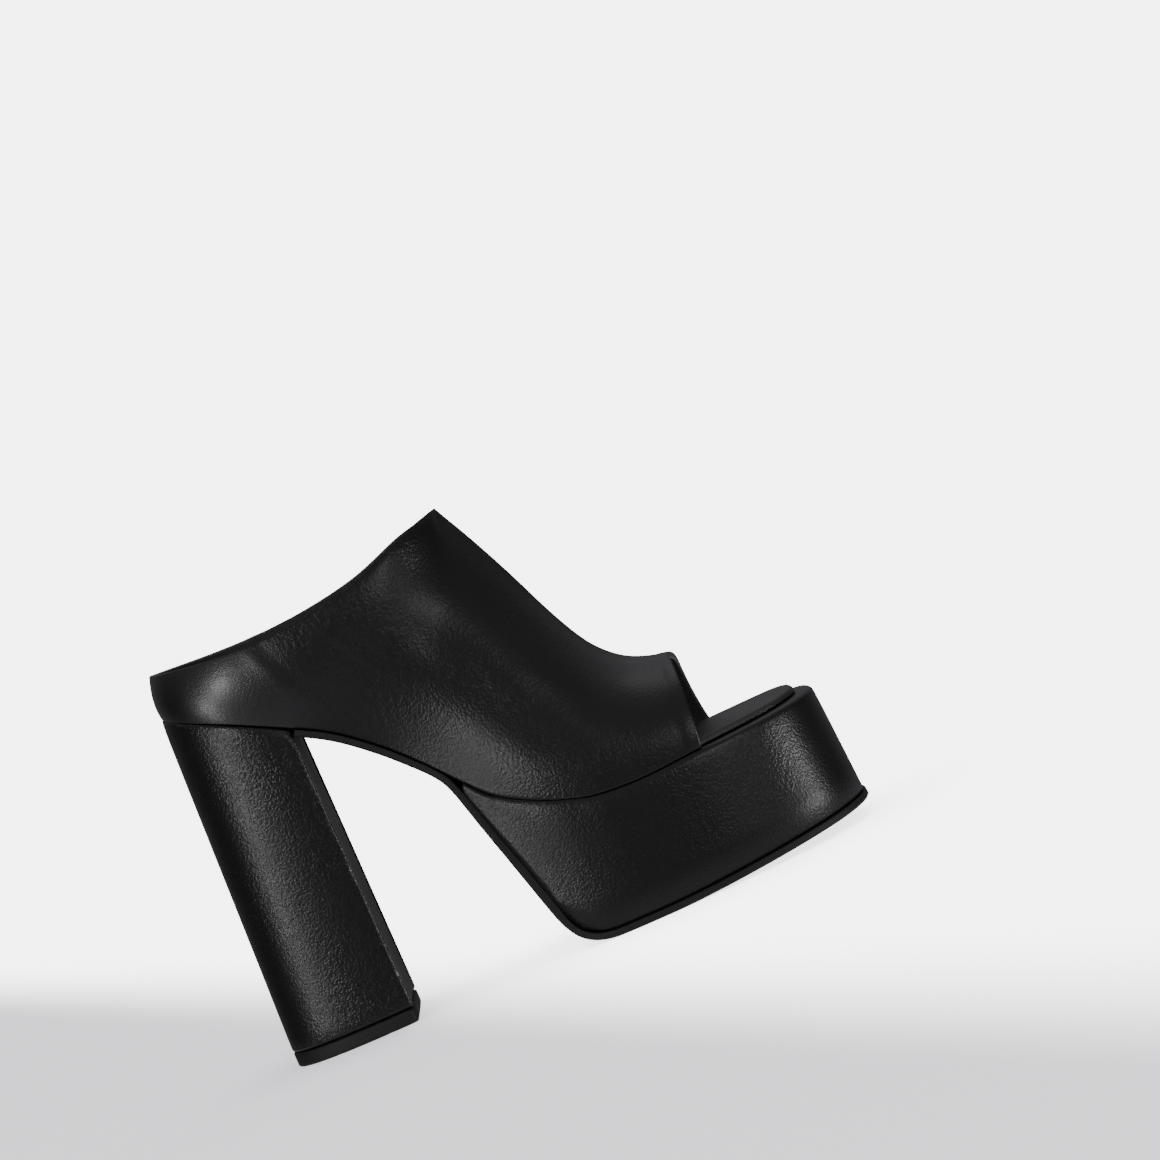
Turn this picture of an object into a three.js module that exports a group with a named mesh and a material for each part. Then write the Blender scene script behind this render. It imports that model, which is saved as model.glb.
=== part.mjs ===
import * as THREE from 'three';
import { mergeVertices } from 'three/addons/utils/BufferGeometryUtils.js';

// Platform mule in black leather for a right foot, about size 37, standing unbent on its sole.
// Millimetres. +X runs from heel to toe, +Y to the inner side of the foot, +Z up.
// The origin is the middle of the heel's top piece, on the floor.

// Driving dimensions of the sole and heel
const BED_LENGTH = 220;
const BALL_WIDTH = 84;
const SEAT_HEIGHT = 133.8;
const PLATFORM_HEIGHT = 48.5;
const SOLE_THICKNESS = 2.6;
const SOLE_LIP = 0.8;
const TOE_SPRING = 5.3;
const TOE_FLARE = 2.4;
const PLATFORM_START = 0.398;
const FLAT_START = 0.548;
const FLAT_END = 0.648;
const RIM_RADIUS = 2.6;
const TOP_PIECE_LENGTH = 48;
const TOP_PIECE_WIDTH = 53;
const TOP_PIECE_THICKNESS = 5.2;
const HEEL_SET_BACK = 4.6;
const HEEL_ROUNDNESS = 2.5;
const BREAST_STATION = 0.198;
const BREAST_FOLD = 5;
const BREAST_RECESS = 2;
const PANEL_THICKNESS = 1.2;
const HEEL_CHAMFER = 0.8;
const PLATFORM_CHAMFER = 0.8;
const SOLE_CHAMFER = 0.7;
const TOP_PIECE_CHAMFER = 0.5;

// Where the toe begins to turn up, and the outline sections between which the sole's lip grows
const TOE_START = 0.75;
const LIP_START = 7.5;
const LIP_END = 10;

// Driving dimensions of the upper and the footbed
const WALL = 2;
const INSTEP_RISE = 115;
const COUNTER_HEIGHT = 16.2;
const COLLAR_WIDTH = 64;
const RIDGE_SHIFT = 3;
const SEAM_WIDTH = 2.2;
const SEAM_RAISE = 0.6;
const TURNED_WIDTH = 3;
const TURNED_RAISE = 0.5;
const INSOLE_THICKNESS = 2.8;
const INSOLE_CROWN = 0.6;
const INSOLE_MARGIN = 6.5;
const INSOLE_RADIUS = 1.8;

// The outline sections between which the footbed draws in from the wall to its open margin
const OPEN_START = 12.5;
const OPEN_END = 14.5;

// Clearances
const GAP = 0.3;
const SOLE_CLEARANCE = 0.45;
const FEATHER_INSET = 1.2;
const SEAT_INSET = 0.6;

// A table from the names of its columns and its rows
function table(names, rows) {
  const keys = names.split(' ');
  return rows.map((row) => Object.fromEntries(keys.map((key, i) => [key, row[i]])));
}

// The bed: the line on which the upper and the footbed sit.
// along is a share of BED_LENGTH from the back, rise a share of the drop from seat to ball.
const BED = table('along rise', [
  [0.0, 1.0],
  [0.1, 0.888],
  [0.19, 0.771],
  [0.25, 0.682],
  [0.31, 0.556],
  [0.37, 0.4],
  [0.41, 0.28],
  [0.45, 0.17],
  [0.5, 0.094],
  [0.55, 0.039],
  [0.61, 0.0],
  [0.68, -0.01],
  [0.78, 0.003],
  [0.9, 0.013],
  [1.0, 0.026],
]);

// The back of the platform, where the sole leaves the waist and runs down to the floor.
// height is a share of the sole's height where it leaves the waist.
const PLATFORM_BACK = table('along height', [
  [0.384, 1.0],
  [0.396, 0.915],
  [0.407, 0.795],
  [0.422, 0.635],
  [0.439, 0.46],
  [0.4555, 0.285],
  [0.47, 0.147],
  [0.489, 0.061],
  [0.515, 0.017],
]);

// Stations of the waist, where the sole lies right under the bed
const WAIST = [0.2, 0.23, 0.26, 0.29, 0.32, 0.35];

// The outline from above: half widths as shares of half of BALL_WIDTH, on the outer and
// inner side of the foot, from the back of the seat to the tip of the toe.
const OUTLINE = table('along outer inner', [
  [0.0, 0.0, 0.0],
  [0.011, 0.27, 0.27],
  [0.041, 0.5, 0.5],
  [0.091, 0.645, 0.645],
  [0.148, 0.7, 0.7],
  [0.207, 0.69, 0.675],
  [0.27, 0.635, 0.585],
  [0.334, 0.625, 0.54],
  [0.398, 0.705, 0.59],
  [0.461, 0.83, 0.715],
  [0.525, 0.93, 0.845],
  [0.589, 0.985, 0.93],
  [0.652, 1.005, 0.98],
  [0.716, 1.01, 1.0],
  [0.78, 0.99, 1.005],
  [0.839, 0.93, 0.98],
  [0.893, 0.835, 0.92],
  [0.941, 0.68, 0.82],
  [0.975, 0.465, 0.655],
  [0.995, 0.19, 0.415],
  [1.0, -0.12, 0.12],
]);

// Sections of the vamp, from the toe opening to the peak of the throat. outer and inner name
// the outline section that each side stands on. top is along the bed, height a share of
// INSTEP_RISE. lean, fall and rake are in degrees, pull and reach shares of the section's chord,
// and swing turns the inner side's end at the ridge forward, in degrees.
const VAMP = table('outer inner top height lean pull fall rake reach swing', [
  [14.15, 14.9, 0.805, 0.287, 3, 0.5, 7, 18, 0.44, 18],
  [13.25, 13.8, 0.767, 0.307, 4, 0.5, 8, 24, 0.43, 12],
  [12.35, 12.8, 0.73, 0.345, 5, 0.5, 9, 36, 0.41, 6],
  [11.5, 11.8, 0.692, 0.423, 5, 0.5, 10, 50, 0.38, 2],
  [10.65, 10.85, 0.657, 0.554, 5, 0.5, 12, 57, 0.34, 0],
  [9.85, 9.95, 0.624, 0.707, 5, 0.49, 15, 48, 0.3, 0],
  [9.15, 9.2, 0.59, 0.853, 5, 0.48, 20, 30, 0.27, 0],
  [8.5, 8.5, 0.552, 1.0, 5, 0.47, 29, 10, 0.25, 0],
]);

// Sections from the peak of the throat along the collar to the back of the heel. width is a
// share of half of COLLAR_WIDTH, height runs from 0 at the back to 1 at the peak, inner is a
// share of COUNTER_HEIGHT that the inner side stands higher, and turn swings the section from
// sideways at 0 to straight back at 90 degrees.
const COLLAR = table('foot top width height inner lean pull fall rake reach turn', [
  [8.5, 0.552, 0, 1, 0, 5, 0.47, 29, 10, 0.25, 0],
  [7.8, 0.527, 0.45, 0.89, 0, 6, 0.45, 46, 17, 0.26, 0],
  [7.0, 0.47, 0.82, 0.595, 0.08, 8, 0.42, 64, 22, 0.27, 0],
  [6.1, 0.386, 0.97, 0.03, 0.15, 10, 0.4, 78, 21, 0.29, 0],
  [5.05, 0.289, 0.99, -0.26, 0.16, 12, 0.38, 84, 14, 0.3, 0],
  [4.0, 0.198, 0.94, -0.34, 0.15, 15, 0.36, 80, 8, 0.3, 8],
  [3.0, 0.117, 0.83, -0.24, 0.09, 18, 0.35, 74, 4, 0.3, 28],
  [1.6, 0.046, 0.54, -0.08, 0.03, 20, 0.35, 70, 0, 0.3, 56],
  [0, 0.014, 0, 0, 0, 22, 0.35, 68, 0, 0.3, 90],
]);

// How far up a section its rows lie, as shares, before the two rows that edge its top
const SECTION_ROWS = [0, 0.05, 0.13, 0.23, 0.34, 0.46, 0.58, 0.7, 0.81, 0.9];
const SECTION_STEPS = 3;
const FAIRING_TURNS = 10;
const FAIRING_REACH = 9;
const RIM_STEPS = 3;
const ACROSS_STEPS = 5;

const SEAT_BACK = HEEL_SET_BACK - TOP_PIECE_LENGTH / 2;
const OUTER = -1;
const INNER = 1;

const placeAlong = (share) => SEAT_BACK + share * BED_LENGTH;
const radians = THREE.MathUtils.degToRad;
const mix = THREE.MathUtils.lerp;
const smooth = THREE.MathUtils.smoothstep;

// A smooth line through rows of place and value that never swings past a row
function fairedLine(places, values) {
  const last = places.length - 1;
  const slope = (i) => (values[i + 1] - values[i]) / (places[i + 1] - places[i]);
  const tangents = places.map((_, i) => {
    if (i === 0 || i === last) return slope(Math.min(i, last - 1));
    const before = slope(i - 1);
    const after = slope(i);
    return before * after <= 0 ? 0 : (2 * before * after) / (before + after);
  });
  return (place) => {
    let i = 0;
    while (i < last - 1 && place > places[i + 1]) i += 1;
    const width = places[i + 1] - places[i];
    const t = (place - places[i]) / width;
    if (t < 0) return values[i] + tangents[i] * t * width;
    if (t > 1) return values[i + 1] + tangents[i + 1] * (t - 1) * width;
    const rise = t * t * (3 - 2 * t);
    const leave = t * (1 - t) * (1 - t);
    const arrive = t * t * (t - 1);
    const bend = width * (leave * tangents[i] + arrive * tangents[i + 1]);
    return mix(values[i], values[i + 1], rise) + bend;
  };
}

// A table read between its rows: every column is faired through the rows on each side. At
// the table's ends the even columns run on as in a mirror, and the others run straight on.
function tableRow(rows, index, even = []) {
  const i = Math.min(Math.floor(index), rows.length - 2);
  const t = index - i;
  const row = {};
  for (const key of Object.keys(rows[i])) {
    const here = rows[i][key];
    const next = rows[i + 1][key];
    const beyond = (end, inside) => (even.includes(key) ? inside : 2 * end - inside);
    const before = i > 0 ? rows[i - 1][key] : beyond(here, next);
    const after = i + 2 < rows.length ? rows[i + 2][key] : beyond(next, here);
    const curve = 2 * before - 5 * here + 4 * next - after;
    const twist = 3 * (here - next) + after - before;
    row[key] = here + 0.5 * t * (next - before + t * (curve + t * twist));
  }
  return row;
}

// The outline as one closed curve: outer side from heel to toe, then the inner side back
const LAST_SECTION = OUTLINE.length - 1;
const outlineSide = (side, key) =>
  OUTLINE.map((row) => new THREE.Vector3(placeAlong(row.along), (side * row[key] * BALL_WIDTH) / 2, 0));
const outlineLoop = [...outlineSide(OUTER, 'outer'), ...outlineSide(INNER, 'inner').slice(1, -1).reverse()];
const outlineCurve = new THREE.CatmullRomCurve3(outlineLoop, true, 'catmullrom', 0.5);
const OUTLINE_STEP = 0.001;

// A point of the outline at a section, moved inwards by an inset, with its outward direction
function outlinePoint(section, side, inset = 0) {
  const place = section / (2 * LAST_SECTION);
  const turn = side === OUTER ? place : (1 - place) % 1;
  const point = outlineCurve.getPoint(turn);
  const before = outlineCurve.getPoint((turn + 1 - OUTLINE_STEP) % 1);
  const after = outlineCurve.getPoint((turn + OUTLINE_STEP) % 1);
  const outward = new THREE.Vector3(after.y - before.y, before.x - after.x, 0).normalize();
  return { point: point.addScaledVector(outward, -inset), outward };
}

// The outline section that lies at a given X
function sectionAt(x) {
  let low = 0;
  let high = LAST_SECTION;
  for (let i = 0; i < 40; i += 1) {
    const middle = (low + high) / 2;
    if (outlinePoint(middle, OUTER).point.x < x) low = middle;
    else high = middle;
  }
  return (low + high) / 2;
}

const bedDrop = SEAT_HEIGHT - PLATFORM_HEIGHT;
const bedHeight = fairedLine(
  BED.map((row) => placeAlong(row.along)),
  BED.map((row) => PLATFORM_HEIGHT + row.rise * bedDrop),
);

// The underside of the sole: under the waist, down the platform's back, flat, then sprung
function undersideRows() {
  const step = 0.5;
  const underBed = (along) => {
    const x = placeAlong(along);
    const fall = (bedHeight(x + step) - bedHeight(x - step)) / (2 * step);
    return { x, z: bedHeight(x) - SOLE_CLEARANCE - SOLE_THICKNESS * Math.hypot(1, fall) };
  };
  const leaving = underBed(PLATFORM_BACK[0].along).z;
  const back = PLATFORM_BACK.map((row) => ({ x: placeAlong(row.along), z: row.height * leaving }));
  const flat = [FLAT_START, FLAT_END].map((along) => ({ x: placeAlong(along), z: 0 }));
  const spring = [0.2, 0.4, 0.6, 0.8, 1].map((share) => ({
    x: placeAlong(mix(FLAT_END, 1, share)),
    z: TOE_SPRING * Math.pow(share, 1.3),
  }));
  return [...WAIST.map(underBed), ...back, ...flat, ...spring];
}
const UNDERSIDE = undersideRows();
const undersideHeight = fairedLine(
  UNDERSIDE.map((row) => row.x),
  UNDERSIDE.map((row) => row.z),
);

// The direction square to the underside at X, pointing up into the shoe
function undersideNormal(x) {
  const step = 0.4;
  const slope = (undersideHeight(x + step) - undersideHeight(x - step)) / (2 * step);
  return new THREE.Vector3(-slope, 0, 1).normalize();
}

// The bottom of the platform stands a little forward of its top at the toe
const toeFlare = (x) => TOE_FLARE * smooth(x, placeAlong(TOE_START), placeAlong(1));

// A closed body from a list of quadrilateral patches, each a grid of points
class Skin {
  constructor() {
    this.positions = [];
  }

  triangle(a, b, c) {
    this.positions.push(...a.toArray(), ...b.toArray(), ...c.toArray());
  }

  quad(a, b, c, d) {
    this.triangle(a, b, c);
    this.triangle(a, c, d);
  }

  patch(rows, closed = false) {
    for (let i = 0; i + 1 < rows.length; i += 1) {
      const count = rows[i].length;
      for (let j = 0; j < (closed ? count : count - 1); j += 1) {
        const k = (j + 1) % count;
        this.quad(rows[i][j], rows[i][k], rows[i + 1][k], rows[i + 1][j]);
      }
    }
    return this;
  }

  // An end closed by triangles from the middle of its ring
  fan(ring, isFirst) {
    const middle = new THREE.Vector3();
    ring.forEach((point) => middle.addScaledVector(point, 1 / ring.length));
    ring.forEach((point, i) => {
      const next = ring[(i + 1) % ring.length];
      if (isFirst) this.triangle(middle, next, point);
      else this.triangle(middle, point, next);
    });
    return this;
  }

  // A level end whose ring has notches, seen from above
  lid(ring, isFirst) {
    const flat = ring.map((point) => new THREE.Vector2(point.x, point.y));
    const turn = Math.sign(THREE.ShapeUtils.area(flat));
    for (const [i, j, k] of THREE.ShapeUtils.triangulateShape([...flat], [])) {
      const same = Math.sign(THREE.ShapeUtils.area([flat[i], flat[j], flat[k]])) === turn;
      if (same === isFirst) this.triangle(ring[i], ring[k], ring[j]);
      else this.triangle(ring[i], ring[j], ring[k]);
    }
    return this;
  }

  mesh(name, material) {
    const raw = new THREE.BufferGeometry();
    raw.setAttribute('position', new THREE.Float32BufferAttribute(this.positions, 3));
    const geometry = mergeVertices(raw, 1e-3);
    const index = Array.from(geometry.index.array);
    const kept = [];
    for (let i = 0; i < index.length; i += 3) {
      const [a, b, c] = index.slice(i, i + 3);
      if (a !== b && b !== c && a !== c) kept.push(a, b, c);
    }
    geometry.setIndex(signedVolume(geometry, kept) > 0 ? kept : kept.reverse());
    geometry.computeVertexNormals();
    const piece = new THREE.Mesh(geometry, material);
    piece.name = name;
    return piece;
  }
}

function signedVolume(geometry, index) {
  const position = geometry.getAttribute('position');
  const [a, b, c] = [new THREE.Vector3(), new THREE.Vector3(), new THREE.Vector3()];
  let volume = 0;
  for (let i = 0; i < index.length; i += 3) {
    a.fromBufferAttribute(position, index[i]);
    b.fromBufferAttribute(position, index[i + 1]);
    c.fromBufferAttribute(position, index[i + 2]);
    volume += a.dot(b.cross(c)) / 6;
  }
  return volume;
}

const span = (from, to, count) => Array.from({ length: count + 1 }, (_, i) => mix(from, to, i / count));

// Points across from one edge to the other, with a crown in the middle, without the ends
function across(from, to, count, crown = 0) {
  return span(0, 1, count)
    .slice(1, -1)
    .map((share) => {
      const point = from.clone().lerp(to, share);
      point.z += crown * 4 * share * (1 - share);
      return point;
    });
}

// A ring of points: one side's edge upwards, across the top, and the other side downwards
function ringOf(edgeOf, topSteps, crown = 0) {
  const outer = edgeOf(OUTER);
  const inner = edgeOf(INNER);
  const top = across(outer[outer.length - 1], inner[inner.length - 1], topSteps, crown);
  return [...outer, ...top, ...inner.reverse()];
}

// Halfway sections set between the sections at the given places
function sectionsThrough(places) {
  const sections = [];
  places.forEach((x, i) => {
    sections.push(sectionAt(x));
    if (i + 1 < places.length) sections.push(sectionAt((x + places[i + 1]) / 2));
  });
  return sections;
}

// The outsole: one rubber sheet from the heel's breast under the waist, down the back of the
// platform and out to a small lip at the toe
function outsole(material) {
  const lay = (point, height) => {
    const x = point.x + toeFlare(point.x);
    const up = undersideNormal(x).multiplyScalar(height);
    return new THREE.Vector3(x + up.x, point.y, undersideHeight(x) + up.z);
  };
  const edge = (section, side) => {
    const lip = SOLE_LIP * smooth(section, LIP_START, LIP_END);
    const low = outlinePoint(section, side, SOLE_CHAMFER - lip).point;
    const face = outlinePoint(section, side, -lip).point;
    return [lay(low, 0), lay(face, SOLE_CHAMFER), lay(face, SOLE_THICKNESS)];
  };
  const breast = placeAlong(BREAST_STATION) + GAP;
  const toeStart = placeAlong(TOE_START);
  const apart = 2;
  const bends = UNDERSIDE.map((row) => row.x).filter((x) => x > breast + apart && x < toeStart - apart);
  const sections = sectionsThrough([breast, ...bends, toeStart]);
  sections.push(...span(sections[sections.length - 1], LAST_SECTION, 16).slice(1));
  const rings = sections.map((section) => ringOf((side) => edge(section, side), ACROSS_STEPS));
  return new Skin().patch(rings, true).fan(rings[0], true).mesh('outsole', material);
}

// The platform: a leather-wrapped block on the outsole, with a rolled rim round its top.
// Its rear sections fan from the sloping back to upright ones over the flat of the sole.
function platform(material) {
  const wall = ({ bottom, top }, side, inset) => {
    const low = outlinePoint(bottom, side, inset).point;
    const high = outlinePoint(top, side, inset).point;
    const x = low.x + toeFlare(low.x);
    const up = undersideNormal(x).multiplyScalar(SOLE_THICKNESS + GAP);
    low.set(x + up.x, low.y, undersideHeight(x) + up.z);
    high.z = bedHeight(high.x) - GAP;
    return new THREE.Line3(low, high);
  };
  const above = (section, side, inset, height) => {
    const line = wall(section, side, inset);
    return line.at(height / line.distance(), new THREE.Vector3());
  };
  const below = (section, side, inset, depth) => {
    const line = wall(section, side, inset);
    return line.at(1 - depth / line.distance(), new THREE.Vector3());
  };
  const edge = (section, side) => {
    const { radius } = section;
    const rim = span(0, Math.PI / 2, RIM_STEPS).map((angle) =>
      below(section, side, radius * (1 - Math.cos(angle)), radius * (1 - Math.sin(angle))),
    );
    const chamfer = Math.min(PLATFORM_CHAMFER, radius / 3);
    return [above(section, side, chamfer, 0), above(section, side, 0, chamfer), ...rim];
  };
  const spread = 1.25;
  const rearRim = PLATFORM_START + 0.016;
  const fan = span(0, 1, 14).map((share) => ({
    bottom: sectionAt(placeAlong(mix(PLATFORM_START, FLAT_START, Math.pow(share, spread)))),
    top: sectionAt(placeAlong(mix(rearRim, FLAT_START, share))),
    radius: RIM_RADIUS * smooth(share, -0.35, 0.3),
  }));
  const upright = span(sectionAt(placeAlong(FLAT_START)), LAST_SECTION, 26)
    .slice(1)
    .map((section) => ({ bottom: section, top: section, radius: RIM_RADIUS }));
  const rings = [...fan, ...upright].map((section) => ringOf((side) => edge(section, side), ACROSS_STEPS));
  return new Skin().patch(rings, true).fan(rings[0], true).mesh('platform', material);
}

// The insole: a padded footbed from the heel cup to the toe, inside the wall of the upper and
// set back from the platform's rim where the toe is open
function insole(material) {
  const edge = (section, side) => {
    const inside = FEATHER_INSET + WALL + GAP;
    const margin = mix(inside, INSOLE_MARGIN, smooth(section, OPEN_START, OPEN_END));
    const at = (inset, height) => {
      const spot = outlinePoint(section, side, margin + inset).point;
      spot.z = bedHeight(spot.x) + height;
      return spot;
    };
    const round = span(0, Math.PI / 2, RIM_STEPS).map((angle) => {
      const drop = INSOLE_RADIUS * (1 - Math.sin(angle));
      return at(INSOLE_RADIUS * (1 - Math.cos(angle)), INSOLE_THICKNESS - drop);
    });
    return [at(0, 0), ...round];
  };
  const sections = [...span(0, 4, 10), ...span(4, 11, 16).slice(1), ...span(11, LAST_SECTION, 22).slice(1)];
  const ends = 3;
  const rings = sections.map((section) => {
    const roominess = smooth(section, 0, ends) * smooth(LAST_SECTION - section, 0, ends);
    return ringOf((side) => edge(section, side), 7, INSOLE_CROWN * roominess);
  });
  return new Skin().patch(rings, true).mesh('insole', material);
}

// Half of the heel's outline, from the middle of the back to the breast's corner, at a share
// of the heel's height. The foot of the heel is a D, and its head follows the seat.
function heelSide(side, share, inset) {
  const breastX = placeAlong(BREAST_STATION);
  const corner = sectionAt(breastX);
  const back = outlinePoint(0, side, SEAT_INSET).point.x;
  return span(0, 1, 14).map((step) => {
    const head = outlinePoint(corner * Math.pow(step, 1.1), side, SEAT_INSET).point;
    const forward = THREE.MathUtils.clamp((head.x - back) / (breastX - back), 0, 1);
    const round = Math.pow(1 - Math.pow(1 - forward, HEEL_ROUNDNESS), 1 / HEEL_ROUNDNESS);
    const halfWidth = (round * TOP_PIECE_WIDTH) / 2;
    const foot = new THREE.Vector3((forward - 0.5) * TOP_PIECE_LENGTH, side * halfWidth, 0);
    const spot = foot.lerp(head, share);
    const shrink = 1 - (2 * inset) / TOP_PIECE_WIDTH;
    return new THREE.Vector3(spot.x * shrink, spot.y * shrink, bedHeight(head.x) - GAP);
  });
}

// The heel: a leather-covered block with a round back and a recessed breast, edged by the
// folded cover on both sides
function heel(material) {
  const foot = TOP_PIECE_THICKNESS + GAP;
  const half = (side, share, inset, lift) => {
    const points = heelSide(side, share, inset).map((spot) => {
      const height = share === 0 ? foot + lift : mix(foot, spot.z, share) + lift;
      return spot.setZ(height);
    });
    const corner = points[points.length - 1];
    const fold = corner.clone();
    fold.y -= side * BREAST_FOLD;
    const floor = fold.clone();
    floor.x -= BREAST_RECESS;
    return [...points, fold, floor];
  };
  const level = (share, inset, lift) => [
    ...half(OUTER, share, inset, lift),
    ...half(INNER, share, inset, lift).reverse(),
  ];
  const rings = [
    level(0, HEEL_CHAMFER, 0),
    level(0, 0, HEEL_CHAMFER),
    ...span(0, 1, 6).slice(1, -1).map((share) => level(share, 0, 0)),
    level(1, 0, -HEEL_CHAMFER),
    level(1, HEEL_CHAMFER, 0),
  ];
  const skin = new Skin().patch(rings, true);
  skin.lid(rings[0], true).lid(rings[rings.length - 1], false);
  return skin.mesh('heel', material);
}

// The panel that closes the heel's breast, lying in the recess between the folded edges
function heelBreast(material) {
  const breastX = placeAlong(BREAST_STATION);
  const floorX = (share) => mix(TOP_PIECE_LENGTH / 2, breastX, share) - BREAST_RECESS + GAP;
  const corner = (share) => heelSide(INNER, share, 0).pop();
  const outline = (share, z) => {
    const halfWidth = corner(share).y - BREAST_FOLD - GAP;
    const x = floorX(share);
    return [
      new THREE.Vector3(x, -halfWidth, z),
      new THREE.Vector3(x + PANEL_THICKNESS, -halfWidth, z),
      new THREE.Vector3(x + PANEL_THICKNESS, halfWidth, z),
      new THREE.Vector3(x, halfWidth, z),
    ];
  };
  const foot = TOP_PIECE_THICKNESS + GAP;
  const head = bedHeight(breastX) - GAP;
  const margin = HEEL_CHAMFER / (head - foot);
  const rings = span(margin, 1 - margin, 4).map((share) => outline(share, mix(foot, head, share)));
  const skin = new Skin().patch(rings, true);
  skin.lid(rings[0], true).lid(rings[rings.length - 1], false);
  return skin.mesh('heel_breast', material);
}

// The top piece: the rubber D that the heel stands on
function topPiece(material) {
  const level = (inset, z) => [
    ...heelSide(OUTER, 0, inset).map((spot) => spot.setZ(z)),
    ...heelSide(INNER, 0, inset).map((spot) => spot.setZ(z)).reverse(),
  ];
  const rings = [
    level(TOP_PIECE_CHAMFER, 0),
    level(0, TOP_PIECE_CHAMFER),
    level(0, TOP_PIECE_THICKNESS - TOP_PIECE_CHAMFER),
    level(TOP_PIECE_CHAMFER, TOP_PIECE_THICKNESS),
  ];
  const skin = new Skin().patch(rings, true);
  skin.lid(rings[0], true).lid(rings[rings.length - 1], false);
  return skin.mesh('top_piece', material);
}

const throatHeight = PLATFORM_HEIGHT + INSTEP_RISE;
const collarBackHeight = SEAT_HEIGHT + COUNTER_HEIGHT;

// The turned edge's width round the toe opening, in rows of the vamp's table
const TURNED_INDEX = TURNED_WIDTH / (BED_LENGTH * (VAMP[0].top - VAMP[1].top));

// The line of one section of the upper, from the bed up to the ridge or the collar
function sectionLine(row, side, foot, top) {
  const { point, outward } = outlinePoint(foot, side, FEATHER_INSET);
  point.z = bedHeight(point.x);
  const chord = point.distanceTo(top);
  const upwards = new THREE.Vector3(top.x - point.x, 0, top.z - point.z).normalize();
  const lean = radians(row.lean);
  const leave = upwards.multiplyScalar(Math.cos(lean)).addScaledVector(outward, Math.sin(lean));
  const turn = radians(row.turn ?? (side === INNER ? -row.swing : 0));
  const sideways = new THREE.Vector3(-Math.sin(turn), side * Math.cos(turn), 0);
  const rake = radians(row.rake);
  const down = new THREE.Vector3(-Math.sin(rake), 0, -Math.cos(rake));
  const fall = radians(row.fall);
  const arrive = sideways.multiplyScalar(Math.cos(fall)).addScaledVector(down, Math.sin(fall));
  return new THREE.CubicBezierCurve3(
    point,
    point.clone().addScaledVector(leave, chord * row.pull),
    top.clone().addScaledVector(arrive, chord * row.reach),
    top,
  );
}

// One section as points: rows up the side, then the two rows that edge its top
function sectionPoints(line) {
  const length = line.getLength();
  const edge = (2 * SEAM_WIDTH) / length;
  const shares = [...SECTION_ROWS.map((share) => share * (1 - edge)), 1 - edge, 1 - edge / 2, 1];
  return shares.map((share) => line.getPointAt(share));
}

// The sections of one side, from the toe opening to the back of the heel
function upperSections(side) {
  const lastVamp = VAMP.length - 1;
  const lastCollar = COLLAR.length - 1;
  const vampIndexes = span(0, lastVamp, lastVamp * SECTION_STEPS);
  vampIndexes.splice(1, 1, TURNED_INDEX, 1.25 * TURNED_INDEX);
  const vamp = vampIndexes.map((index) => {
    const row = tableRow(VAMP, index);
    const foot = side === OUTER ? row.outer : row.inner;
    const shift = RIDGE_SHIFT * (1 - index / lastVamp);
    const top = new THREE.Vector3(placeAlong(row.top), shift, PLATFORM_HEIGHT + row.height * INSTEP_RISE);
    return { foot, side, points: sectionPoints(sectionLine(row, side, foot, top)), ridge: true };
  });
  const collarIndexes = span(0, lastCollar, lastCollar * SECTION_STEPS).slice(1);
  const collar = collarIndexes.map((index) => {
    const row = tableRow(COLLAR, index, ['top', 'height', 'inner']);
    const foot = Math.max(row.foot, 0);
    const width = (side * row.width * COLLAR_WIDTH) / 2;
    const raised = side === INNER ? row.inner * COUNTER_HEIGHT : 0;
    const height = mix(collarBackHeight, throatHeight, row.height) + raised;
    const top = new THREE.Vector3(placeAlong(row.top), width, height);
    return { foot, side, points: sectionPoints(sectionLine(row, side, foot, top)), ridge: false };
  });
  const sections = [...vamp, ...collar];
  fairThroat(sections, vamp.length - 1);
  return sections;
}

// Evens out the sides of the upper below the peak of the throat, where the vamp's sections
// pass into the collar's. The feather, the ridge and the collar stay where they are.
function fairThroat(sections, peak) {
  for (let turn = 0; turn < FAIRING_TURNS; turn += 1) {
    const before = sections.map(({ points }) => points.map((point) => point.clone()));
    for (let i = peak - FAIRING_REACH; i < peak + FAIRING_REACH; i += 1) {
      const near = 0.6 * smooth(FAIRING_REACH - Math.abs(i - peak), 0, FAIRING_REACH / 2);
      SECTION_ROWS.forEach((share, j) => {
        const middle = before[i - 1][j].clone().lerp(before[i + 1][j], 0.5);
        sections[i].points[j].lerp(middle, near * smooth(share, 0, 0.3) * smooth(1 - share, 0, 0.25));
      });
    }
  }
}

// The outward direction at every point of the upper's sections
function upperNormals(columns, ridgeCount) {
  const normals = columns.map((column, i) =>
    column.points.map((point, j) => {
      const before = columns[Math.max(i - 1, 0)].points[j];
      const after = columns[Math.min(i + 1, columns.length - 1)].points[j];
      const below = column.points[Math.max(j - 1, 0)];
      const above = column.points[Math.min(j + 1, column.points.length - 1)];
      return above.clone().sub(below).cross(after.clone().sub(before)).normalize();
    }),
  );
  const last = normals[0].length - 1;
  for (let i = 0; i < ridgeCount; i += 1) {
    const k = normals.length - 1 - i;
    const middle = normals[i][last].clone().add(normals[k][last]).normalize();
    const spread = 1 / Math.max(middle.dot(normals[i][last]), 0.7);
    normals[i][last] = middle.clone().multiplyScalar(spread);
    normals[k][last] = middle.multiplyScalar(spread);
  }
  return normals;
}

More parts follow.
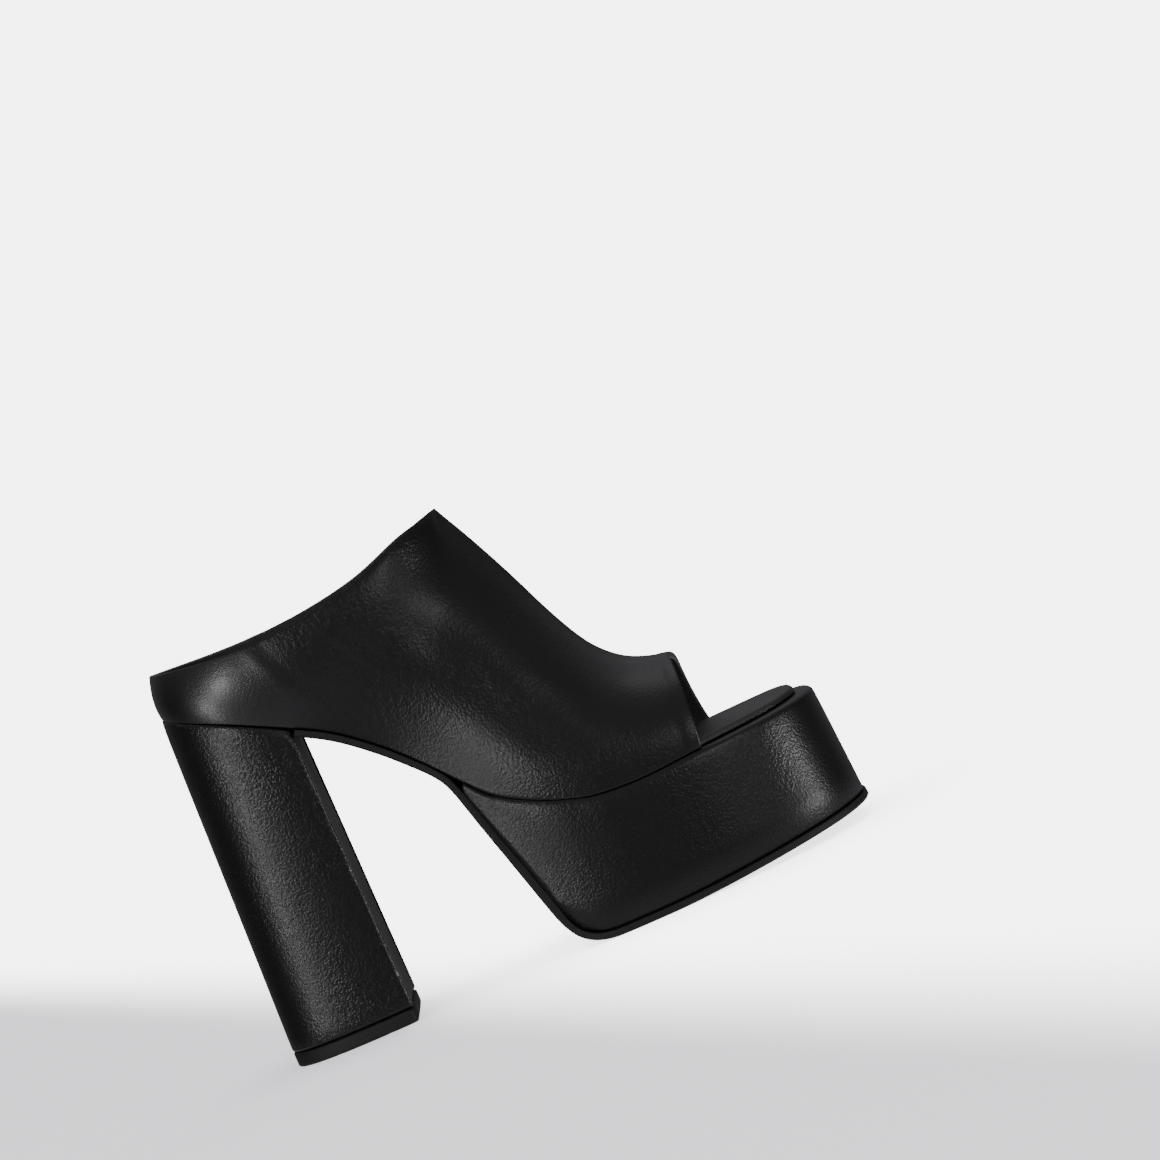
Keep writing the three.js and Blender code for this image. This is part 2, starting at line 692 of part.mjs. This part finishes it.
// The upper: one leather shell with a seam down its front, a low counter round the heel, open
// at the collar, the toe and underneath
function upper(material) {
  const outer = upperSections(OUTER);
  const inner = upperSections(INNER);
  const columns = [...outer, ...inner.slice(0, -1).reverse()];
  const ridgeCount = outer.filter((column) => column.ridge).length;
  const normals = upperNormals(columns, ridgeCount);
  const last = columns[0].points.length - 1;
  const raise = (i, j) => {
    const fromOpening = Math.min(i, columns.length - 1 - i);
    const seam = columns[i].ridge && j === last - 1 ? SEAM_RAISE : 0;
    return Math.max(seam, fromOpening < 2 ? TURNED_RAISE : 0);
  };
  const shell = columns.map((column, i) => {
    const face = column.points.map((point, j) => point.clone().addScaledVector(normals[i][j], raise(i, j)));
    const lining = column.points.map((point, j) => point.clone().addScaledVector(normals[i][j], -WALL));
    face[0] = column.points[0].clone();
    lining[0] = outlinePoint(column.foot, column.side, FEATHER_INSET + WALL).point;
    lining[0].z = bedHeight(lining[0].x);
    return { face, lining };
  });
  const collar = shell.slice(ridgeCount - 1, shell.length - ridgeCount + 1);
  const skin = new Skin();
  skin.patch(shell.map(({ face }) => face));
  skin.patch(shell.map(({ lining }) => [...lining].reverse()));
  skin.patch(shell.map(({ face, lining }) => [lining[0], face[0]]));
  skin.patch(collar.map(({ face, lining }) => [face[last], lining[last]]));
  const first = shell[0];
  const end = shell[shell.length - 1];
  skin.patch([first.lining, first.face]);
  skin.patch([end.face, end.lining]);
  return skin.mesh('upper', material);
}

const surface = (color, roughness) => new THREE.MeshStandardMaterial({ color, roughness, metalness: 0 });

const mule = new THREE.Group();
mule.add(
  outsole(surface(0x1b1918, 0.7)),
  platform(surface(0x1c1c1d, 0.45)),
  heel(surface(0x1c1c1d, 0.45)),
  heelBreast(surface(0x161616, 0.5)),
  topPiece(surface(0x141414, 0.75)),
  insole(surface(0x1a1b1a, 0.5)),
  upper(surface(0x1d1d1e, 0.42)),
);

export default mule;
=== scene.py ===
import math

import bmesh
import bpy
from mathutils import Matrix, Vector
from mathutils.bvhtree import BVHTree


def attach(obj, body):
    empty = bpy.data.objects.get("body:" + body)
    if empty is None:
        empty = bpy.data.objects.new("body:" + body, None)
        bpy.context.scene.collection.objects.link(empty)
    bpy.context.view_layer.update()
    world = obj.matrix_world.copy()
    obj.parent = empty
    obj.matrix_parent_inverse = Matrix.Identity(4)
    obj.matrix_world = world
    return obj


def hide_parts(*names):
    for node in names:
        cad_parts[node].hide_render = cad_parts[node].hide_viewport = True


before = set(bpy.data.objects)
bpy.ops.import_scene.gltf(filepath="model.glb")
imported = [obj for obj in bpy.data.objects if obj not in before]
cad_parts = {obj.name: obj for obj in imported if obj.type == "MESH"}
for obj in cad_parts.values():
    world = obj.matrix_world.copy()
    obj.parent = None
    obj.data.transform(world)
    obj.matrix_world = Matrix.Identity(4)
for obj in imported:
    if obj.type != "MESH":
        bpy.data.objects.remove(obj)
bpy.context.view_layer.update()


# Outsole. One sheet of black rubber, moulded with a small lip at the toe and glued under
# the waist, down the back of the platform and under the forefoot.
MERGE_DISTANCE = 1e-6
FLAT_ANGLE = math.radians(50)
SKEW_ANGLE = math.radians(70)
SHARP_ANGLE = math.radians(38)
TUCK_GAP = 0.00012
SOLE_REACH = 0.0008
SOLE_TONE = (0.0062, 0.0058, 0.0057)
TREAD_ROWS = 100.0
TREAD_SLANT = 60
TREAD_DEPTH = 4.0
RUBBER_CLOUDS = 60.0
RUBBER_PITS = 2600.0
RUBBER_DENTS = 420.0
RUBBER_RELIEF = 0.00012


class Value:
    """A number that varies over a surface. Arithmetic on it adds the nodes it needs."""

    def __init__(self, finish, socket):
        self.finish = finish
        self.socket = socket

    def math(self, operation, *operands):
        node = self.finish.node(
            "ShaderNodeMath", {"operation": operation}, dict(enumerate(operands)),
        )
        return Value(self.finish, node.outputs[0])

    def __add__(self, other):
        return self.math("ADD", self, other)

    def __radd__(self, other):
        return self.math("ADD", other, self)

    def __sub__(self, other):
        return self.math("SUBTRACT", self, other)

    def __rsub__(self, other):
        return self.math("SUBTRACT", other, self)

    def __mul__(self, other):
        return self.math("MULTIPLY", self, other)

    def __rmul__(self, other):
        return self.math("MULTIPLY", other, self)


class Finish:
    """A material or the world. What is the same all over is set on its shader itself."""

    def __init__(self, material, settled, shader="Principled BSDF"):
        self.material = material
        self.material.use_nodes = True
        self.tree = self.material.node_tree
        self.shader = self.tree.nodes[shader]
        self.feed(self.shader, settled)

    def node(self, kind, settings, inputs):
        node = self.tree.nodes.new(kind)
        for name, value in settings.items():
            setattr(node, name, value)
        self.feed(node, inputs)
        return node

    def feed(self, node, inputs):
        for key, value in inputs.items():
            if isinstance(value, Value):
                self.tree.links.new(value.socket, node.inputs[key])
            else:
                node.inputs[key].default_value = value

    def place(self, scale=(1, 1, 1), turn=(0, 0, 0)):
        spot = self.node("ShaderNodeTexCoord", {}, {})
        angles = [math.radians(angle) for angle in turn]
        laid = self.node(
            "ShaderNodeMapping", {},
            {"Vector": Value(self, spot.outputs["Object"]), "Rotation": angles, "Scale": scale},
        )
        return Value(self, laid.outputs["Vector"])

    def noise(self, place, scale, detail=2.0, roughness=0.5):
        node = self.node(
            "ShaderNodeTexNoise", {},
            {"Vector": place, "Scale": scale, "Detail": detail, "Roughness": roughness},
        )
        return Value(self, node.outputs[0])

    def blend(self, share, first, second):
        node = self.node(
            "ShaderNodeMix", {"data_type": "RGBA"}, {0: share, 6: first, 7: second},
        )
        return Value(self, node.outputs[2])

    def spread(self, value, low, high):
        """0 where the value is below low, 1 where it is above high, smooth in between."""
        node = self.node(
            "ShaderNodeMapRange", {"interpolation_type": "SMOOTHSTEP"},
            {"Value": value, "From Min": low, "From Max": high},
        )
        return Value(self, node.outputs[0])

    def near(self, spot, inner, outer):
        """1 within the inner distance of a spot on the shoe, falling to 0 at the outer one."""
        node = self.node(
            "ShaderNodeVectorMath", {"operation": "DISTANCE"}, {0: self.place(), 1: spot},
        )
        return 1.0 - self.spread(Value(self, node.outputs["Value"]), inner, outer)

    def relief(self, height, depth, strength):
        node = self.node(
            "ShaderNodeBump", {}, {"Height": height, "Distance": depth, "Strength": strength},
        )
        self.feed(self.shader, {"Normal": Value(self, node.outputs["Normal"])})


def skin_of(node, sharp=SHARP_ANGLE, hold=0.9):
    """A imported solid's surface, merged, mostly of four-sided faces, its hard edges creased."""
    skin = bmesh.new()
    skin.from_mesh(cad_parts[node].data)
    bmesh.ops.remove_doubles(skin, verts=skin.verts, dist=MERGE_DISTANCE)
    bmesh.ops.join_triangles(
        skin, faces=skin.faces, angle_face_threshold=FLAT_ANGLE, angle_shape_threshold=SKEW_ANGLE,
    )
    crease = skin.edges.layers.float.new("crease_edge")
    for edge in skin.edges:
        if len(edge.link_faces) == 2 and edge.calc_face_angle() > sharp:
            edge[crease] = hold
    return skin


def tuck(skin, node, reach):
    """Draws the skin's points that face another solid within reach up against its surface."""
    beside = bmesh.new()
    beside.from_mesh(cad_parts[node].data)
    surface = BVHTree.FromBMesh(beside)
    beside.free()
    for vert in skin.verts:
        spot, _, _, gap = surface.find_nearest(vert.co)
        if TUCK_GAP < gap < reach and (spot - vert.co).dot(vert.normal) > 0:
            vert.co += (spot - vert.co) * (1 - TUCK_GAP / gap)


def piece_from(skin, name, node, materials, levels=2):
    """A finished piece of the shoe: smooth, in its materials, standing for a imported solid."""
    mesh = bpy.data.meshes.new(name)
    for face in skin.faces:
        face.smooth = True
    skin.to_mesh(mesh)
    skin.free()
    for material in materials:
        mesh.materials.append(material)
    piece = bpy.data.objects.new(name, mesh)
    bpy.context.scene.collection.objects.link(piece)
    finer = piece.modifiers.new("finer", "SUBSURF")
    finer.levels = levels
    finer.render_levels = levels
    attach(piece, "root")
    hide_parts(node)
    return piece


def rubber(name, tone):
    """Moulded rubber, finely pitted, with a tread of small diamonds where it faces the floor."""
    finish = Finish(bpy.data.materials.new(name), {"Specular IOR Level": 0.3})
    place = finish.place()
    cloud = finish.noise(place, RUBBER_CLOUDS, 4.0)
    worn = [value * 1.7 for value in tone]
    finish.feed(finish.shader, {
        "Base Color": finish.blend(cloud, [*tone, 1.0], [*worn, 1.0]),
        "Roughness": 0.52 + 0.16 * cloud,
    })
    facing = finish.node("ShaderNodeTexCoord", {}, {}).outputs["Normal"]
    parts = finish.node("ShaderNodeSeparateXYZ", {}, {"Vector": Value(finish, facing)})
    floorward = finish.spread(-1.0 * Value(finish, parts.outputs["Z"]), 0.9, 0.97)
    rows = [
        Value(finish, finish.node(
            "ShaderNodeTexWave", {},
            {"Vector": finish.place(turn=(0, 0, slant)), "Scale": TREAD_ROWS},
        ).outputs["Fac"])
        for slant in (-TREAD_SLANT, TREAD_SLANT)
    ]
    tread = floorward * finish.spread(rows[0] * rows[1], 0.1, 0.35)
    pits = finish.noise(place, RUBBER_PITS, 3.0, 0.6) + 0.5 * finish.noise(place, RUBBER_DENTS)
    finish.relief(pits + TREAD_DEPTH * tread, RUBBER_RELIEF, 0.5)
    return finish.material


outsole_skin = skin_of("outsole", hold=1.0)
tuck(outsole_skin, "platform", SOLE_REACH)
piece_from(
    outsole_skin, "outsole_rubber", "outsole",
    [rubber("sole rubber", SOLE_TONE)],
)


# Platform. A light block wrapped in the same grained leather as the upper, its cover rolled
# over the top edge into a soft rim and tucked under the outsole.
LEATHER_TONE = (0.0042, 0.0042, 0.0048)
LEATHER_RELIEF = 0.0001
COAT_ROUGHNESS = 0.32
PEBBLES = 1120.0
DRIFTS = 320.0
DRIFT_LENGTH = (0.002, 0.002, 0.002)
WRINKLES = 540.0
PORES = 2300.0
SWELLS = 95.0
PATCHES = 34.0
RIM_REACH = 0.0018


def leather(
    name, tone, fold=(1, 1, 1), turn=(0, 0, 0), grain=1.0, matt=0.35, gloss=0.35,
    soft=None, taut=None,
):
    """Tumbled leather: rounded pebbles, finer pores and short wrinkles drawn out by fold.

    soft is a spot, an inner and an outer distance: the wrinkles are deepest round that spot.
    taut is the same where the leather is stretched smooth and shiny.
    """
    settled = {"Specular IOR Level": gloss, "Coat Roughness": COAT_ROUGHNESS}
    finish = Finish(bpy.data.materials.new(name), settled)
    place = finish.place()
    drift = finish.node(
        "ShaderNodeTexNoise", {}, {"Vector": place, "Scale": DRIFTS, "Detail": 2.0},
    )
    moved = finish.node(
        "ShaderNodeVectorMath", {"operation": "MULTIPLY_ADD"},
        {0: Value(finish, drift.outputs["Color"]), 1: DRIFT_LENGTH, 2: place},
    )
    cells = finish.node(
        "ShaderNodeTexVoronoi", {"feature": "SMOOTH_F1"},
        {"Vector": Value(finish, moved.outputs[0]), "Scale": PEBBLES, "Smoothness": 0.6},
    )
    pebble = 1.0 - finish.spread(Value(finish, cells.outputs["Distance"]), 0.15, 0.8)
    patch = finish.spread(finish.noise(place, PATCHES, 3.0), 0.36, 0.66)
    wrinkle = finish.noise(finish.place(fold, turn), WRINKLES, 3.0)
    pores = finish.noise(place, PORES)
    swell = finish.noise(place, SWELLS)
    worn = 0.7 if soft is None else 0.7 + 2.2 * finish.near(*soft)
    height = (0.5 + 0.4 * patch) * pebble + 1.1 * worn * wrinkle + 0.12 * pores + 0.6 * swell
    coat = 0.03 + 0.05 * patch
    if taut is not None:
        stretched = finish.near(*taut)
        height = (1.0 - 0.45 * stretched) * height
        coat = coat + 0.45 * stretched
    pale = [value * 1.45 for value in tone]
    finish.feed(finish.shader, {
        "Base Color": finish.blend(0.6 * pebble + 0.4 * patch, [*tone, 1.0], [*pale, 1.0]),
        "Roughness": matt + 0.05 * (1.0 - patch) - 0.04 * pebble,
        "Coat Weight": coat,
    })
    finish.relief(height, LEATHER_RELIEF * grain, 0.9)
    return finish.material


platform_skin = skin_of("platform", hold=1.0)
tuck(platform_skin, "upper", RIM_REACH)
tuck(platform_skin, "outsole", SOLE_REACH)
piece_from(
    platform_skin, "platform_cover", "platform",
    [leather("platform leather", LEATHER_TONE, grain=0.75)],
)


# Heel. A tall moulded block with a round back, covered in the same leather, which is folded
# round its two front corners on to the breast.
piece_from(
    skin_of("heel"), "heel_cover", "heel",
    [leather("heel leather", LEATHER_TONE, fold=(0.35, 0.35, 1), grain=1.15, matt=0.32)],
)


# Heel breast. The panel of leather glued into the front of the heel between the two folds,
# a little duller and plainer than the heel's cover.
BREAST_TONE = (0.0038, 0.0038, 0.004)
piece_from(
    skin_of("heel_breast"), "heel_breast_panel", "heel_breast",
    [leather("breast leather", BREAST_TONE, grain=0.6, matt=0.46)],
    levels=3,
)


# Top piece. The rubber D that is nailed under the heel and takes the wear. Its edges are
# held from a smaller angle on than the other pieces' are.
TOP_PIECE_SHARP_ANGLE = math.radians(30)
TOP_PIECE_TONE = (0.005, 0.005, 0.0051)
piece_from(
    skin_of("top_piece", TOP_PIECE_SHARP_ANGLE), "top_piece_rubber", "top_piece",
    [rubber("top piece rubber", TOP_PIECE_TONE)],
)


# Insole. A thin padded footbed covered in smooth leather, its edge rolled under, lying in
# the upper and out to the open toe.
INSOLE_TONE = (0.007, 0.007, 0.007)
insole = piece_from(
    skin_of("insole"), "insole_pad", "insole",
    [leather("insole leather", INSOLE_TONE, grain=0.45, matt=0.5, gloss=0.7)],
)


# Upper. One shell of leather with a thin smooth lining, sewn up the front in a narrow raised
# seam, turned in round the open toe and at the collar, and lasted over the insole's edge.
def regions(skin, sharp):
    """The mesh's faces in groups that hard edges part, the largest group first."""
    waiting = set(skin.faces)
    groups = []
    while waiting:
        group = [waiting.pop()]
        for face in group:
            for edge in face.edges:
                if len(edge.link_faces) == 2 and edge.calc_face_angle() < sharp:
                    for beside in edge.link_faces:
                        if beside in waiting:
                            waiting.remove(beside)
                            group.append(beside)
        groups.append(group)
    return sorted(groups, key=lambda group: -sum(face.calc_area() for face in group))


# The main creases of each side, pressed into the leather: points along the shoe and up in
# metres, half the width, and the depth, which is negative for a raised line
OUTER_SIDE = -1
INNER_SIDE = 1
CREASES = [
    (OUTER_SIDE, [(0.02, 0.149), (0.0245, 0.138), (0.0285, 0.129), (0.034, 0.12)],
     0.003, -0.0002),
    (OUTER_SIDE, [(0.0245, 0.147), (0.029, 0.137), (0.0335, 0.128), (0.039, 0.119)],
     0.0032, 0.00025),
    (OUTER_SIDE, [(0.046, 0.138), (0.053, 0.129), (0.059, 0.119)], 0.0022, 0.0003),
    (OUTER_SIDE, [(0.052, 0.141), (0.059, 0.131), (0.065, 0.119)], 0.0022, 0.0003),
    (OUTER_SIDE, [(0.075, 0.14), (0.0815, 0.124), (0.092, 0.098), (0.1055, 0.0765), (0.119, 0.06)],
     0.008, 0.0008),
    (OUTER_SIDE, [(0.104, 0.094), (0.115, 0.083), (0.128, 0.072)], 0.0045, 0.0003),
    (INNER_SIDE, [(0.02, 0.152), (0.0255, 0.14), (0.0295, 0.131), (0.035, 0.121)],
     0.003, -0.0002),
    (INNER_SIDE, [(0.0245, 0.15), (0.03, 0.138), (0.0345, 0.129), (0.04, 0.12)],
     0.0032, 0.00025),
    (INNER_SIDE, [(0.05, 0.139), (0.0565, 0.129), (0.062, 0.118)], 0.0022, 0.0003),
    (INNER_SIDE, [(0.069, 0.142), (0.077, 0.122), (0.087, 0.099), (0.1, 0.078), (0.113, 0.063)],
     0.007, 0.0006),
    (INNER_SIDE, [(0.108, 0.093), (0.12, 0.08), (0.132, 0.07)], 0.0045, 0.0003),
]
CREASE_REACH = 3
REGION_EDGE_ANGLE = math.radians(60)
OUTER_FACE, LINING, EDGES = range(3)
LINING_TONE = (0.03, 0.03, 0.03)
EDGE_TONE = (0.02, 0.02, 0.02)
WRINKLED_QUARTER = ((0.05, -0.03, 0.13), 0.012, 0.045)
STRETCHED_CUP = ((0.0, 0.0, 0.126), 0.036, 0.05)


def off_line(spot, line):
    """How far a spot lies from a line of points, and how near the line's ends it is, 0 to 1."""
    nearest, share = None, 0.0
    for index, (start, end) in enumerate(zip(line, line[1:])):
        along = end - start
        part = min(max((spot - start).dot(along) / along.length_squared, 0.0), 1.0)
        gap = (spot - start - along * part).length
        if nearest is None or gap < nearest:
            nearest, share = gap, (index + part) / (len(line) - 1)
    return nearest, min(1.0, 4 * min(share, 1 - share))


def press(mesh, creases, material_index):
    """Moves the points of one material's faces along their normals into the creases."""
    faces = [face for face in mesh.polygons if face.material_index == material_index]
    moved = {}
    for index in {index for face in faces for index in face.vertices}:
        vertex = mesh.vertices[index]
        spot = Vector((vertex.co.x, vertex.co.z))
        depth = 0.0
        for side, line, width, amount in creases:
            if vertex.co.y * side > 0:
                gap, inside = off_line(spot, [Vector(point) for point in line])
                if gap < CREASE_REACH * width:
                    depth += amount * inside * math.exp(-((gap / width) ** 2))
        if depth:
            moved[index] = vertex.co - vertex.normal * depth
    for index, place in moved.items():
        mesh.vertices[index].co = place


upper_skin = skin_of("upper", hold=0.8)
_, lining, *edges = regions(upper_skin, REGION_EDGE_ANGLE)
for face in lining:
    face.material_index = LINING
for group in edges:
    for face in group:
        face.material_index = EDGES
upper = piece_from(
    upper_skin, "upper_shell", "upper",
    [
        leather(
            "upper leather", LEATHER_TONE, fold=(1, 1, 0.5), turn=(0, 30, 0), grain=0.85,
            soft=WRINKLED_QUARTER, taut=STRETCHED_CUP,
        ),
        leather("lining leather", LINING_TONE, grain=0.8, matt=0.5),
        leather("edge leather", EDGE_TONE, grain=0.25, matt=0.4, gloss=0.7),
    ],
)
finer_upper = upper.evaluated_get(bpy.context.evaluated_depsgraph_get())
pressed_upper = bpy.data.meshes.new_from_object(finer_upper)
upper.modifiers.clear()
upper.data = pressed_upper
press(pressed_upper, CREASES, OUTER_FACE)


# Studio. A round cove of pale paper: a flat floor, grey in front and white behind, that turns
# up into a white wall. The paper glows by itself, and a painted contact shadow dims that glow
# where the shoe stands close to it. Four soft lights stand in front of the shoe, and one hangs
# above and behind it.
COVE_FLOOR = 2.2
COVE_RADIUS = 0.6
COVE_WALL = 2.4
BEND_STEPS = 24
HALF_TURN_STEPS = 48
COVE_MERGE = 1e-5
PAPER_CLOUDS = 3.0
PAPER_GLOW = 5.5
STEP_TURN = -17.6
STEP_WIDTH = 0.085
WALL_FADE = 0.5
# How far the painted contact shadow reaches, and how much of the glow is left in its darkest part
PAINTED_SHADOW_REACH = 0.05
PAINTED_SHADOW_GLOW = 0.45
GREY_PAPER = (0.5, 0.49, 0.525, 1.0)
PALE_GREY_PAPER = (0.54, 0.53, 0.56, 1.0)
WHITE_PAPER = (0.7, 0.7, 0.7, 1.0)
GREY_GLOW = (0.215, 0.213, 0.225, 1.0)
WHITE_GLOW = (1.0, 1.0, 0.99, 1.0)
NO_GLOW = (0.0, 0.0, 0.0, 1.0)


def only_verts(parts):
    return [part for part in parts if isinstance(part, bmesh.types.BMVert)]


def facing_in(face):
    """How much of a face's area looks towards a point one metre above the floor's middle."""
    inward = Vector((0, 0, 1)) - face.calc_center_median()
    return face.normal.dot(inward) * face.calc_area()


def cove_part(name, near, start, sweep, steps, material):
    """The cove's section from the distance near outwards, spun round by sweep from start.

    A full turn is the flat floor alone, anything less has the bend and the wall too.
    """
    part = bmesh.new()
    begin = bmesh.ops.create_vert(part, co=(near, 0, 0))["vert"]
    edge = begin
    if near < COVE_FLOOR:
        edge = bmesh.ops.extrude_vert_indiv(part, verts=begin)["verts"]
        bmesh.ops.translate(part, vec=(COVE_FLOOR - near, 0, 0), verts=edge)
    if sweep < 360:
        bend = bmesh.ops.spin(
            part, geom=edge, cent=(COVE_FLOOR, 0, COVE_RADIUS), axis=(0, -1, 0),
            angle=math.radians(90), steps=BEND_STEPS, use_duplicate=False,
        )["geom_last"]
        wall = bmesh.ops.extrude_vert_indiv(part, verts=only_verts(bend))["verts"]
        bmesh.ops.translate(part, vec=(0, 0, COVE_WALL), verts=wall)
    bmesh.ops.rotate(part, matrix=Matrix.Rotation(math.radians(start), 3, "Z"), verts=part.verts)
    bmesh.ops.spin(
        part, geom=list(part.verts) + list(part.edges), cent=(0, 0, 0), axis=(0, 0, 1),
        angle=math.radians(sweep), steps=steps, use_merge=sweep == 360, use_duplicate=False,
    )
    bmesh.ops.remove_doubles(part, verts=part.verts, dist=COVE_MERGE)
    bmesh.ops.recalc_face_normals(part, faces=part.faces)
    if sum(facing_in(face) for face in part.faces) < 0:
        bmesh.ops.reverse_faces(part, faces=part.faces)
    for face in part.faces:
        face.smooth = True
    mesh = bpy.data.meshes.new(name)
    part.to_mesh(mesh)
    part.free()
    mesh.materials.append(material)
    piece = bpy.data.objects.new(name, mesh)
    bpy.context.scene.collection.objects.link(piece)
    return piece


paper = Finish(
    bpy.data.materials.new("cove paper"),
    {"Roughness": 0.9, "Specular IOR Level": 0.1, "Emission Strength": PAPER_GLOW},
)
on_floor = paper.place(turn=(0, 0, STEP_TURN))
across_floor = paper.node("ShaderNodeSeparateXYZ", {}, {"Vector": on_floor})
height_up = paper.node("ShaderNodeSeparateXYZ", {}, {"Vector": paper.place()})
behind = paper.spread(Value(paper, across_floor.outputs["X"]), 0.0, STEP_WIDTH)
above = paper.spread(Value(paper, height_up.outputs["Z"]), 0.0, WALL_FADE)
white = 1.0 - (1.0 - behind) * (1.0 - above)
cloud = paper.noise(paper.place(), PAPER_CLOUDS)
# Painted contact shadow: ambient occlusion dims the paper's glow where the shoe stands close to it
painted_shadow = paper.node("ShaderNodeAmbientOcclusion", {"samples": 8}, {"Distance": PAINTED_SHADOW_REACH})
unshadowed_share = Value(paper, painted_shadow.outputs["AO"])
floor_tone = paper.blend(cloud, GREY_PAPER, PALE_GREY_PAPER)
paper.feed(paper.shader, {
    "Base Color": paper.blend(white, floor_tone, WHITE_PAPER),
    "Emission Color": paper.blend(
        PAINTED_SHADOW_GLOW + (1.0 - PAINTED_SHADOW_GLOW) * unshadowed_share, NO_GLOW,
        paper.blend(white, GREY_GLOW, WHITE_GLOW),
    ),
})
for cove in (
    cove_part("studio_floor", 0.0, 0, 360, 2 * HALF_TURN_STEPS, paper.material),
    cove_part("studio_back", COVE_FLOOR, 0, 180, HALF_TURN_STEPS, paper.material),
    cove_part("studio_front", COVE_FLOOR, 180, 180, HALF_TURN_STEPS, paper.material),
):
    cove.visible_glossy = False
    cove.visible_diffuse = False
    cove.visible_shadow = False

# The shoe stands unbent on the floor, so the camera is rolled 24 degrees instead. It stands
# 1.3 m off the shoe's outer side
SENSOR_WIDTH = 36.0
LENS = 112.07
CAMERA_PLACE = Vector((0.11504, -1.30014, 0.15295))
LOOK_ALONG = Vector((0.01876, 0.99947, -0.0265)).normalized()
CAMERA_UP = Vector((0.4071, 0.01657, 0.91323))
across = LOOK_ALONG.cross(CAMERA_UP).normalized()
upright = across.cross(LOOK_ALONG)
view = bpy.data.cameras.new("view")
view.lens = LENS
view.sensor_width = SENSOR_WIDTH
camera = bpy.data.objects.new("camera", view)
turn = Matrix((across, upright, -LOOK_ALONG)).transposed().to_4x4()
camera.matrix_world = Matrix.Translation(CAMERA_PLACE) @ turn
bpy.context.scene.collection.objects.link(camera)
bpy.context.scene.camera = camera

SHOE_MIDDLE = Vector((0.09, 0.0, 0.08))


def soft_light(name, side, rise, distance, size, power):
    """A soft light facing the shoe, side degrees right and rise degrees up from the camera.

    Both are measured at the shoe's middle, in the rolled camera's own frame.
    """
    lamp = bpy.data.lights.new(name, "AREA")
    lamp.shape = "RECTANGLE"
    lamp.size, lamp.size_y = size
    lamp.energy = power
    light = bpy.data.objects.new(name, lamp)
    side, rise = math.radians(side), math.radians(rise)
    level = across * math.sin(side) - LOOK_ALONG * math.cos(side)
    back = (level * math.cos(rise) + upright * math.sin(rise)).normalized()
    width = upright.cross(back).normalized()
    faced = Matrix((width, back.cross(width), back)).transposed().to_4x4()
    light.matrix_world = Matrix.Translation(SHOE_MIDDLE + back * distance) @ faced
    bpy.context.scene.collection.objects.link(light)


soft_light("left strip", -46, -23, 1.4, (0.15, 0.4), 3.7)
soft_light("left light", -33, -5, 1.4, (0.2, 0.12), 4.0)
soft_light("instep light", 20, 18, 1.5, (0.4, 0.2), 3.0)
soft_light("right strip", 67, 8, 1.3, (0.12, 0.4), 5.5)
soft_light("top light", -150, 65, 1.9, (1.4, 0.9), 2.0)

# What the shoe mirrors of the room: pale below, above and on its inner side, dark elsewhere
DARK_ROOM = 0.047
FLOOR_LIGHT = 0.6
WALL_LIGHT = 0.1
CEILING_LIGHT = 0.4
AIR_TONE = (0.95, 0.95, 1.0, 1.0)
air = Finish(bpy.data.worlds.new("studio air"), {"Color": AIR_TONE}, "Background")
mirrored = air.node("ShaderNodeTexCoord", {}, {}).outputs["Generated"]
direction = air.node("ShaderNodeSeparateXYZ", {}, {"Vector": Value(air, mirrored)})
from_floor = air.spread(-1.0 * Value(air, direction.outputs["Z"]), 0.12, 0.6)
from_wall = air.spread(Value(air, direction.outputs["Y"]), 0.3, 1.0)
from_above = air.spread(Value(air, direction.outputs["Z"]), 0.1, 0.9)
room = FLOOR_LIGHT * from_floor + WALL_LIGHT * from_wall + CEILING_LIGHT * from_above
air.feed(air.shader, {"Strength": DARK_ROOM + room})
bpy.context.scene.world = air.material
